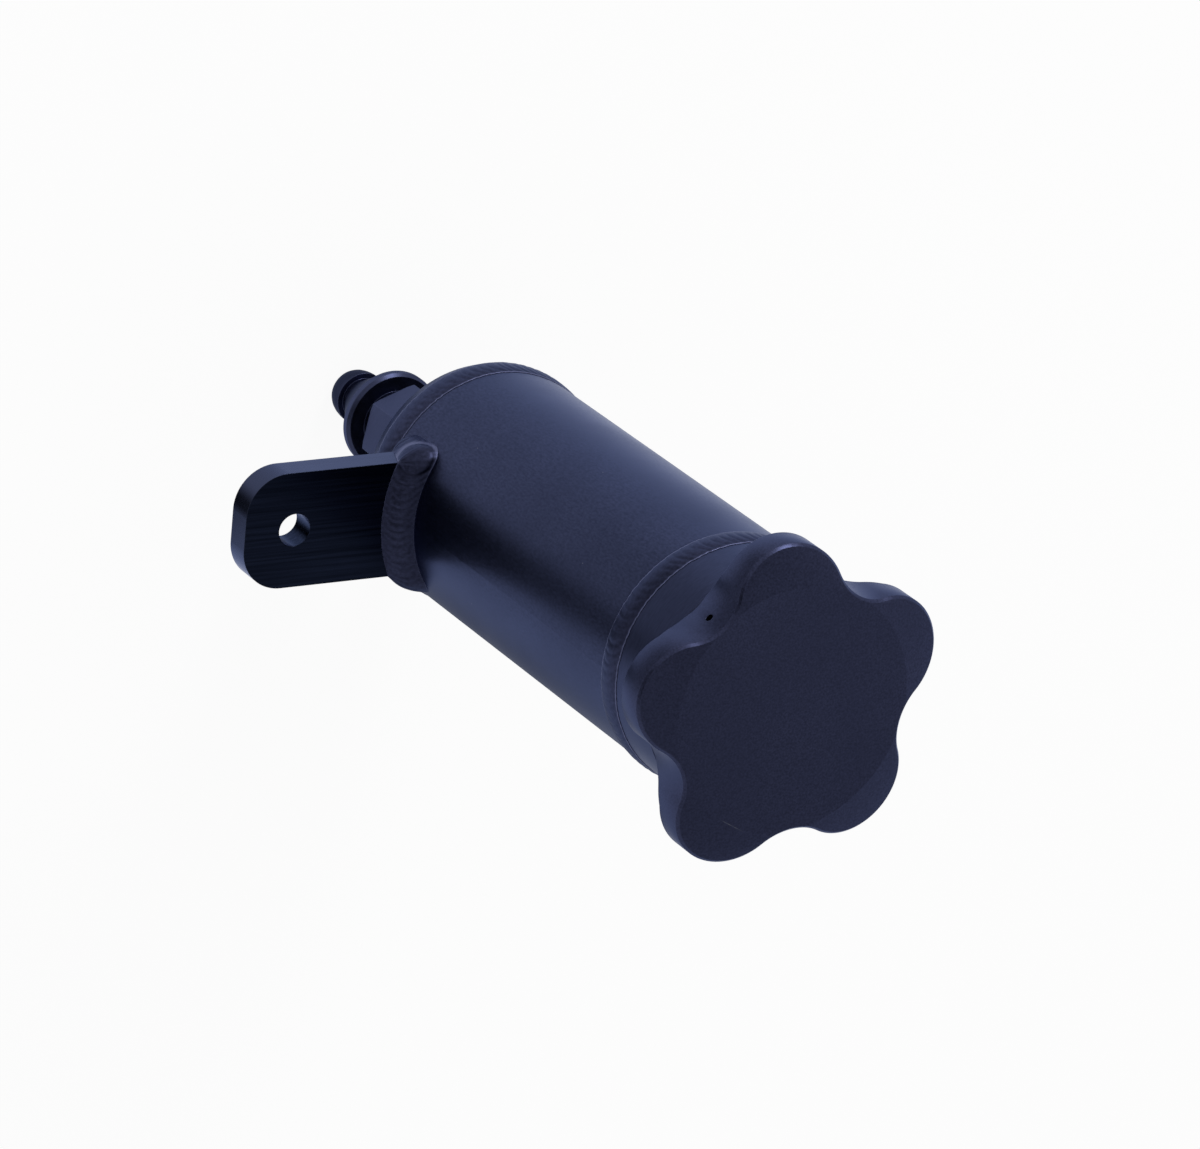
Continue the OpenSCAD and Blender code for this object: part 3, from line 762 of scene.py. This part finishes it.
class Anodised(Shader):
    """Dyed oxide over metal: tone, gloss and a fine surface that follows the tool's marks."""

    def __init__(self, name, tint, roughness, brush=(1, 1, 1), brush_scale=900,
                 brush_depth=0.004 * MM, brush_tone=0.12, cloud_scale=38, edge=0.3 * MM):
        super().__init__(name)
        self.tint = tint
        cloud = self.noise(cloud_scale, detail=3)
        marks = self.noise(brush_scale, detail=5, place=self.mapped("Scale", brush))
        dark, pale = shade(tint, 1 - brush_tone), shade(tint, 1 + brush_tone)
        tone = self.mix(self.remap(marks, 0, 1), dark, pale)
        tone = self.mix(self.remap(cloud, 0, CLOUD_SHARE), tone, shade(tint, CLOUD_SHADE))
        # Lighter edges: partly wear, partly a painted highlight along the edges
        pale_edges, round_normal = self.edges(edge)
        pale_edges = self.math("MULTIPLY", pale_edges, self.remap(self.noise(WEAR_AND_HIGHLIGHT_SCALE, detail=3), *WEAR_AND_HIGHLIGHT_SHARE))
        self.tone = self.mix(pale_edges, tone, shade(tint, *WEAR_AND_HIGHLIGHT_TONE))
        self.gloss = self.math("ADD", self.remap(marks, roughness - BRUSH_GLOSS, roughness + BRUSH_GLOSS),
                               self.remap(cloud, *CLOUD_GLOSS))
        self.normal = self.bump(marks, brush_depth, round_normal)
        self.surface.inputs["Metallic"].default_value = 1.0
        self.surface.inputs["Specular Tint"].default_value = EDGE_TINT

    def add_specks(self, scale, radius, share):
        """A few pale specks, as dust leaves."""
        self.tone = self.mix(self.math("MULTIPLY", self.specks(scale, radius), share),
                             self.tone, SPECK_TINT)

    def add_stroke(self, start, end, width):
        """A fine broken scratch."""
        broken = self.math("MULTIPLY", self.stroke(start, end, width),
                           self.remap(self.noise(SCRATCH_BREAKS, detail=2), 0.1, 1))
        self.tone = self.mix(broken, self.tone, SCRATCH_TINT)

    def add_painted_light(self):
        """A painted highlight, less metallic, and painted shade, as the points of the mesh store them."""
        painted_light_and_tone = self.add("ShaderNodeAttribute", {"attribute_name": "painted_light_and_tone"}).outputs["Fac"]
        light = self.remap(painted_light_and_tone, 0, 1, 0, 1)
        dark = self.remap(painted_light_and_tone, 1, 0, -1, 0)
        self.tone = self.mix(light, self.tone, shade(self.tint, *PAINTED_HIGHLIGHT_TONE))
        self.tone = self.mix(dark, self.tone, shade(self.tint, PAINTED_SHADE_TONE))
        self.plug(self.surface, "Metallic",
                  self.math("SUBTRACT", 1.0, self.math("MULTIPLY", light, HIGHLIGHT_CHALKY)))

    def add_lit_sides(self, tint, room):
        """Painted light: a lighter tint on the upright outer sides, but not within room of the bolt
        hole's axis.
        """
        facing = self.split(self.add("ShaderNodeTexCoord").outputs["Normal"])[2]
        upright = self.remap(self.math("ABSOLUTE", facing), 1, 0, *UPRIGHT)
        x, y, _ = self.split(self.place)
        outer = self.math("GREATER_THAN", self.distance(x, y), room)
        self.tone = self.mix(self.math("MULTIPLY", upright, outer), self.tone, rgb(*tint))

    def add_turning(self, period, depth):
        """Fine rings about the tank axis, left by the lathe."""
        wave = self.add("ShaderNodeTexWave",
                        {"wave_type": "RINGS", "rings_direction": "Z", "wave_profile": "SIN"},
                        Vector=self.mapped("Location", (-AXIS_X, 0, 0)),
                        Scale=1 / (period * TURNING_WAVES), Distortion=TURNING_UNEVEN)
        self.normal = self.bump(wave.outputs["Fac"], depth, self.normal)

    def finish(self):
        self.plug(self.surface, "Base Color", self.tone)
        self.plug(self.surface, "Roughness", self.gloss)
        self.plug(self.surface, "Normal", self.normal)
        return self.material


TUBE_TINT = (0.0285, 0.0333, 0.0680)
CAP_TINT = (0.0328, 0.0375, 0.0770)
# The tab's tint is darkened as painted shade on its faces; the tint after it is painted light on the
# tab's sides.
TAB_TINT = (0.0105, 0.0145, 0.0310)
LIT_SIDE_TINT = (0.0318, 0.0368, 0.0670)
WELD_TINT = (0.0265, 0.0300, 0.0615)
GLOSS_TINT = (0.0380, 0.0440, 0.0880)
HOLE_ROOM = 7 * MM
SCRATCH = (Vector((-0.0552, 0.0315, CAP_TOP)), Vector((-0.0634, 0.0363, CAP_TOP)))
RUBBER_TINTS = (rgb(0.008, 0.008, 0.009), rgb(0.016, 0.016, 0.017))
RUBBER_WORN = rgb(0.03, 0.03, 0.032)
RUBBER_GRAIN = 1400
RUBBER_GLOSS = (0.42, 0.58)
RUBBER_EDGE = 0.1 * MM
RUBBER_DEPTH = 0.01 * MM


def tube_finish():
    """The drawn tube: satin, with its grain along the tube and a few specks."""
    look = Anodised("anodised_tube", TUBE_TINT, roughness=0.34, brush=(1, 1, 0.5), brush_scale=1500,
                    brush_tone=0.28)
    look.add_specks(scale=110, radius=0.22 * MM, share=0.5)
    return look.finish()


def turned_finish():
    """The turned plate and neck, with marks that run round."""
    return Anodised("anodised_turned", TUBE_TINT, roughness=0.33, brush=(0.2, 0.2, 1), brush_scale=1800,
                    brush_tone=0.18).finish()


def cap_finish():
    """The machined cap: fine rings, an even grain, one scratch and a few specks."""
    look = Anodised("anodised_cap", CAP_TINT, roughness=0.36, brush_scale=1600, brush_tone=0.26,
                    edge=0.25 * MM)
    look.add_turning(period=0.35 * MM, depth=0.0008 * MM)
    look.add_stroke(*SCRATCH, width=0.35 * MM)
    look.add_specks(scale=70, radius=0.2 * MM, share=0.4)
    return look.finish()


def tab_finish():
    """The tab: drawn faces with long marks in a tint darkened as painted shade, and painted light on the
    sides.
    """
    look = Anodised("anodised_plate", TAB_TINT, roughness=0.26, brush=(0.02, 1, 1), brush_scale=1100,
                    brush_tone=0.5, brush_depth=0.006 * MM, cloud_scale=60)
    look.add_lit_sides(LIT_SIDE_TINT, HOLE_ROOM)
    return look.finish()


def weld_finish():
    """The welds: rougher, with a chalky painted highlight on the toes and painted shade in the valleys.
    """
    look = Anodised("anodised_weld", WELD_TINT, roughness=0.42, brush_tone=0.3, brush_depth=0.02 * MM)
    look.add_painted_light()
    return look.finish()


def gloss_finish():
    """The adapters, turned smooth."""
    return Anodised("anodised_gloss", GLOSS_TINT, roughness=0.36, brush=(0.3, 0.3, 1),
                    brush_scale=1500).finish()


def rubber_finish():
    """The O-rings."""
    look = Shader("seal_rubber")
    grain = look.noise(RUBBER_GRAIN)
    pale_edges, round_normal = look.edges(RUBBER_EDGE)
    tone = look.mix(look.remap(grain, 0, 1), *RUBBER_TINTS)
    look.plug(look.surface, "Base Color", look.mix(pale_edges, tone, RUBBER_WORN))
    look.plug(look.surface, "Roughness", look.remap(grain, *RUBBER_GLOSS))
    look.plug(look.surface, "Normal", look.bump(grain, RUBBER_DEPTH, round_normal))
    return look.material


def paint(piece, material):
    """Gives a piece one material, in each slot that it has."""
    slots = piece.data.materials
    if not slots:
        slots.append(material)
    for i in range(len(slots)):
        slots[i] = material


def finishes(beads, cap_pieces):
    """Every piece and every CAD node gets its finish."""
    nodes = frame["nodes"]
    painted = [(tube_finish(), [nodes["tank_tube"]]),
               (turned_finish(), [nodes["bottom_plate"], nodes["filler_neck"]]),
               (tab_finish(), [nodes["mounting_tab"]]),
               (gloss_finish(), [nodes["feed_adapter"], nodes["return_adapter"]]),
               (rubber_finish(), [nodes[n] for n in ("feed_o_ring", "return_o_ring", "cap_o_ring")]),
               (weld_finish(), beads + [nodes[n] for n in ("bottom_weld", "neck_weld", "tab_weld")]),
               (cap_finish(), cap_pieces + [nodes["screw_cap"]])]
    for material, group in painted:
        for piece in group:
            paint(piece, material)


# Studio

FLOOR_Z = cad_low.z
FLOOR_REACH = 6.0
WHITE_SHARE = 0.92
PAPER = 0.94


class Stage(Nodes):
    """An empty tree with its own output, for the floor, the cards and the world."""

    def __init__(self, owner, output):
        owner.use_nodes = True
        owner.node_tree.nodes.clear()
        super().__init__(owner.node_tree)
        self.output = self.add(output)

    def show(self, shader):
        self.plug(self.output, "0", shader.outputs[0])


def flat_piece(name, middle, across, along):
    """A rectangle given by its middle and its two half sides."""
    middle, across, along = Vector(middle), Vector(across), Vector(along)
    piece = grid_mesh(name, [[middle - across - along, middle + across - along],
                             [middle - across + along, middle + across + along]])
    material = bpy.data.materials.new(name)
    piece.data.materials.append(material)
    return piece, Stage(material, "ShaderNodeOutputMaterial")


def only_reflected(piece):
    """Hides a piece from everything but reflections."""
    piece.visible_camera = False
    piece.visible_diffuse = False
    piece.visible_shadow = False
    piece.visible_transmission = False


def card(name, middle, across, along, strength):
    """An even card that only reflections see."""
    piece, look = flat_piece(name, middle, across, along)
    look.show(look.add("ShaderNodeEmission", Strength=strength))
    only_reflected(piece)


def floor():
    """Pale paper: nearly white to the camera and to reflections, with the object's shadow kept."""
    _, look = flat_piece("studio_floor", (0, 0, FLOOR_Z), (FLOOR_REACH, 0, 0), (0, FLOOR_REACH, 0))
    path = look.add("ShaderNodeLightPath").outputs
    seen = look.math("MAXIMUM", path["Is Camera Ray"], path["Is Glossy Ray"])
    seen = look.math("MAXIMUM", seen, path["Is Transmission Ray"])
    paper = look.add("ShaderNodeBsdfDiffuse", Color=rgb(PAPER, PAPER, PAPER))
    glow = look.add("ShaderNodeEmission")
    mixed = look.add("ShaderNodeMixShader")
    look.plug(mixed, "0", look.math("MULTIPLY", seen, WHITE_SHARE))
    look.plug(mixed, "1", paper.outputs[0])
    look.plug(mixed, "2", glow.outputs[0])
    look.show(mixed)


# The floor as the polished sides mirror it. Directions are counted from the tab, distances from
# the tank's axis, and a depth is the share of the light that a zone takes away.
MIRROR_LEVEL = 1.12
MIRROR_REACH = 1.5
MIRROR_LIFT = 0.3 * MM
STREAK_TURN = math.radians(0)
STREAK_HALF = math.radians(13.5)
STREAK_SOFT = math.radians(9)
STREAK_START = (0.07, 0.09)
STREAK_THIN = (0.13, 0.18)
STREAK_STOP = (0.195, 0.215)
STREAK_DEPTH = 0.98
STREAK_LEFT = 0.88
FRONT_TURN = math.radians(-35)
FRONT_HALF = math.radians(42)
FRONT_SOFT = math.radians(12)
FRONT_START = (0.180, 0.215)
FRONT_DEPTH = 0.62
SIDE_RISE = (math.radians(40), math.radians(88))
SIDE_FALL = (math.radians(112), math.radians(170))
SIDE_BACK = 0.2
SIDE_FADE = (0.14, 0.24)
SIDE_FAR = 0.5
SIDE_DEPTH = 0.68
UNDER_FADE = (0.026, 0.046)
UNDER_DEPTH = 0.72


def fan(look, turn, middle, half, soft, depth):
    """The shade of a fan that spreads from the tank, across its width."""
    off = look.math("ABSOLUTE", look.math("SUBTRACT", turn, middle))
    return look.remap(off, depth, 0, half - soft, half + soft, soft=True)


def streak_shade(look, turn, away):
    """A dark streak in front of the tab."""
    streak = fan(look, turn, STREAK_TURN, STREAK_HALF, STREAK_SOFT, STREAK_DEPTH)
    for fade in (look.remap(away, 0, 1, *STREAK_START, soft=True),
                 look.remap(away, 1, STREAK_LEFT, *STREAK_THIN, soft=True),
                 look.remap(away, 1, 0, *STREAK_STOP, soft=True)):
        streak = look.math("MULTIPLY", streak, fade)
    return streak


def front_shade(look, turn, away):
    """A wide shade further out, on the camera's side."""
    return look.math("MULTIPLY", fan(look, turn, FRONT_TURN, FRONT_HALF, FRONT_SOFT, FRONT_DEPTH),
                     look.remap(away, 0, 1, *FRONT_START, soft=True))


def side_shade(look, turn, away):
    """The side away from the window."""
    side = look.math("MULTIPLY", look.remap(turn, 0, SIDE_DEPTH, *SIDE_RISE, soft=True),
                     look.remap(turn, 1, SIDE_BACK, *SIDE_FALL, soft=True))
    return look.math("MULTIPLY", side, look.remap(away, 1, SIDE_FAR, *SIDE_FADE, soft=True))


def under_shade(look, away):
    """The tank's own shade beneath it."""
    return look.remap(away, UNDER_DEPTH, 0, *UNDER_FADE, soft=True)


def floor_reflections():
    """A card just over the floor with what the polished sides see of it."""
    piece, look = flat_piece("floor_reflections", (AXIS_X, 0, FLOOR_Z + MIRROR_LIFT),
                             (MIRROR_REACH, 0, 0), (0, MIRROR_REACH, 0))
    x, y, _ = look.split(look.add("ShaderNodeTexCoord").outputs["Object"])
    x = look.math("SUBTRACT", x, AXIS_X)
    turn = look.math("ARCTAN2", y, x)
    away = look.distance(x, y)
    shades = (streak_shade(look, turn, away), front_shade(look, turn, away),
              side_shade(look, turn, away), under_shade(look, away))
    left = MIRROR_LEVEL
    for shadow in shades:
        left = look.math("MULTIPLY", left, look.math("SUBTRACT", 1.0, shadow))
    look.show(look.add("ShaderNodeEmission", Strength=left))
    only_reflected(piece)


WORLD_LOW = 0.95
WORLD_HIGH = 0.5
WORLD_FADE = (0.78, 0.94)


def world():
    """Soft surroundings: white low down, greyer overhead."""
    scene_world = bpy.data.worlds.new("studio")
    bpy.context.scene.world = scene_world
    look = Stage(scene_world, "ShaderNodeOutputWorld")
    height = look.split(look.add("ShaderNodeTexCoord").outputs["Generated"])[2]
    level = look.remap(height, WORLD_LOW, WORLD_HIGH, *WORLD_FADE, soft=True)
    look.show(look.add("ShaderNodeBackground", Strength=level))


# Lamp, cards and camera

def aim(thing, at, target, roll=0.0):
    """Places a lamp or camera so that it looks from at to target."""
    way = (Vector(target) - Vector(at)).normalized()
    turn = way.to_track_quat("-Z", "Y").to_matrix() @ Matrix.Rotation(roll, 3, "Z")
    thing.matrix_world = Matrix.Translation(Vector(at)) @ turn.to_4x4()


def towards(turn_deg, climb_deg):
    """A unit vector in a direction about the axis and a climb above the floor."""
    turn, climb = math.radians(turn_deg), math.radians(climb_deg)
    return Vector((math.cos(turn) * math.cos(climb), math.sin(turn) * math.cos(climb), math.sin(climb)))


CAP_MIDDLE = Vector((AXIS_X, 0, CAP_TOP))
WINDOW = towards(-108, 16)
DARK_SIDE = towards(-8, 25)
DARK_AWAY = 0.8
DARK_HALF = (0.34, 0.17)
MIRRORED = Vector((-0.478, 0.356, 0.803))
MIRRORED_AWAY = 0.3
GREY_SIDE = Vector((0.55, 0.83, 0))
GREY_HALF = (0.25, 0.16)
GREY_LEVEL = 0.48

CAMERA_AT = (0.92774, -0.74597, 1.74562)
CAMERA_TARGET = (-0.075556, 0.001583, 0.059041)
CAMERA_RIGHT = Vector((-0.87301, -0.09045, 0.47924))
CAMERA_LENS = 210
CAMERA_SENSOR = 36
CAMERA_REACH = 50


def lamp(name, direction, distance, size, power):
    """A soft lamp that lights the cap from a direction."""
    light = bpy.data.lights.new(name, "AREA")
    light.shape = "RECTANGLE"
    light.size, light.size_y = size
    light.energy = power
    thing = bpy.data.objects.new(name, light)
    bpy.context.scene.collection.objects.link(thing)
    thing.visible_camera = False
    aim(thing, CAP_MIDDLE + direction * distance, CAP_MIDDLE)


def reflection_cards():
    """A dark board beside the tank, which the cap's chamfer mirrors, and a grey one over the cap, which
    a part of its face mirrors."""
    level = Vector((-DARK_SIDE.y, DARK_SIDE.x, 0)).normalized()
    card("dark_board", CAP_MIDDLE + DARK_SIDE * DARK_AWAY, level * DARK_HALF[0],
         DARK_SIDE.cross(level) * DARK_HALF[1], strength=0.0)
    middle = CAP_MIDDLE + MIRRORED * MIRRORED_AWAY + GREY_SIDE * GREY_HALF[1]
    card("grey_board", middle, Vector((-GREY_SIDE.y, GREY_SIDE.x, 0)) * GREY_HALF[0],
         GREY_SIDE * GREY_HALF[1], strength=GREY_LEVEL)


def camera():
    """The camera that was fitted to the photo, with its roll."""
    data = bpy.data.cameras.new("camera")
    data.lens = CAMERA_LENS
    data.sensor_width = CAMERA_SENSOR
    data.sensor_fit = "HORIZONTAL"
    data.clip_end = CAMERA_REACH
    thing = bpy.data.objects.new("camera", data)
    bpy.context.scene.collection.objects.link(thing)
    aim(thing, CAMERA_AT, CAMERA_TARGET)
    level = thing.matrix_world.to_3x3()
    across = level.transposed() @ CAMERA_RIGHT
    aim(thing, CAMERA_AT, CAMERA_TARGET, math.atan2(across.y, across.x))
    bpy.context.scene.camera = thing


def studio():
    """Floor, surroundings, lamp, cards and camera."""
    floor()
    floor_reflections()
    world()
    lamp("window", WINDOW, distance=1.3, size=(0.3, 0.26), power=5.5)
    reflection_cards()
    camera()


beads = [ring_bead("neck_bead", UPPER_JOINT, "neck_weld", seed=1),
         ring_bead("bottom_bead", LOWER_JOINT, "bottom_weld", seed=2),
         tab_bead()]
finishes(beads, screw_cap())
studio()

bpy.context.scene.view_settings.view_transform = "Standard"
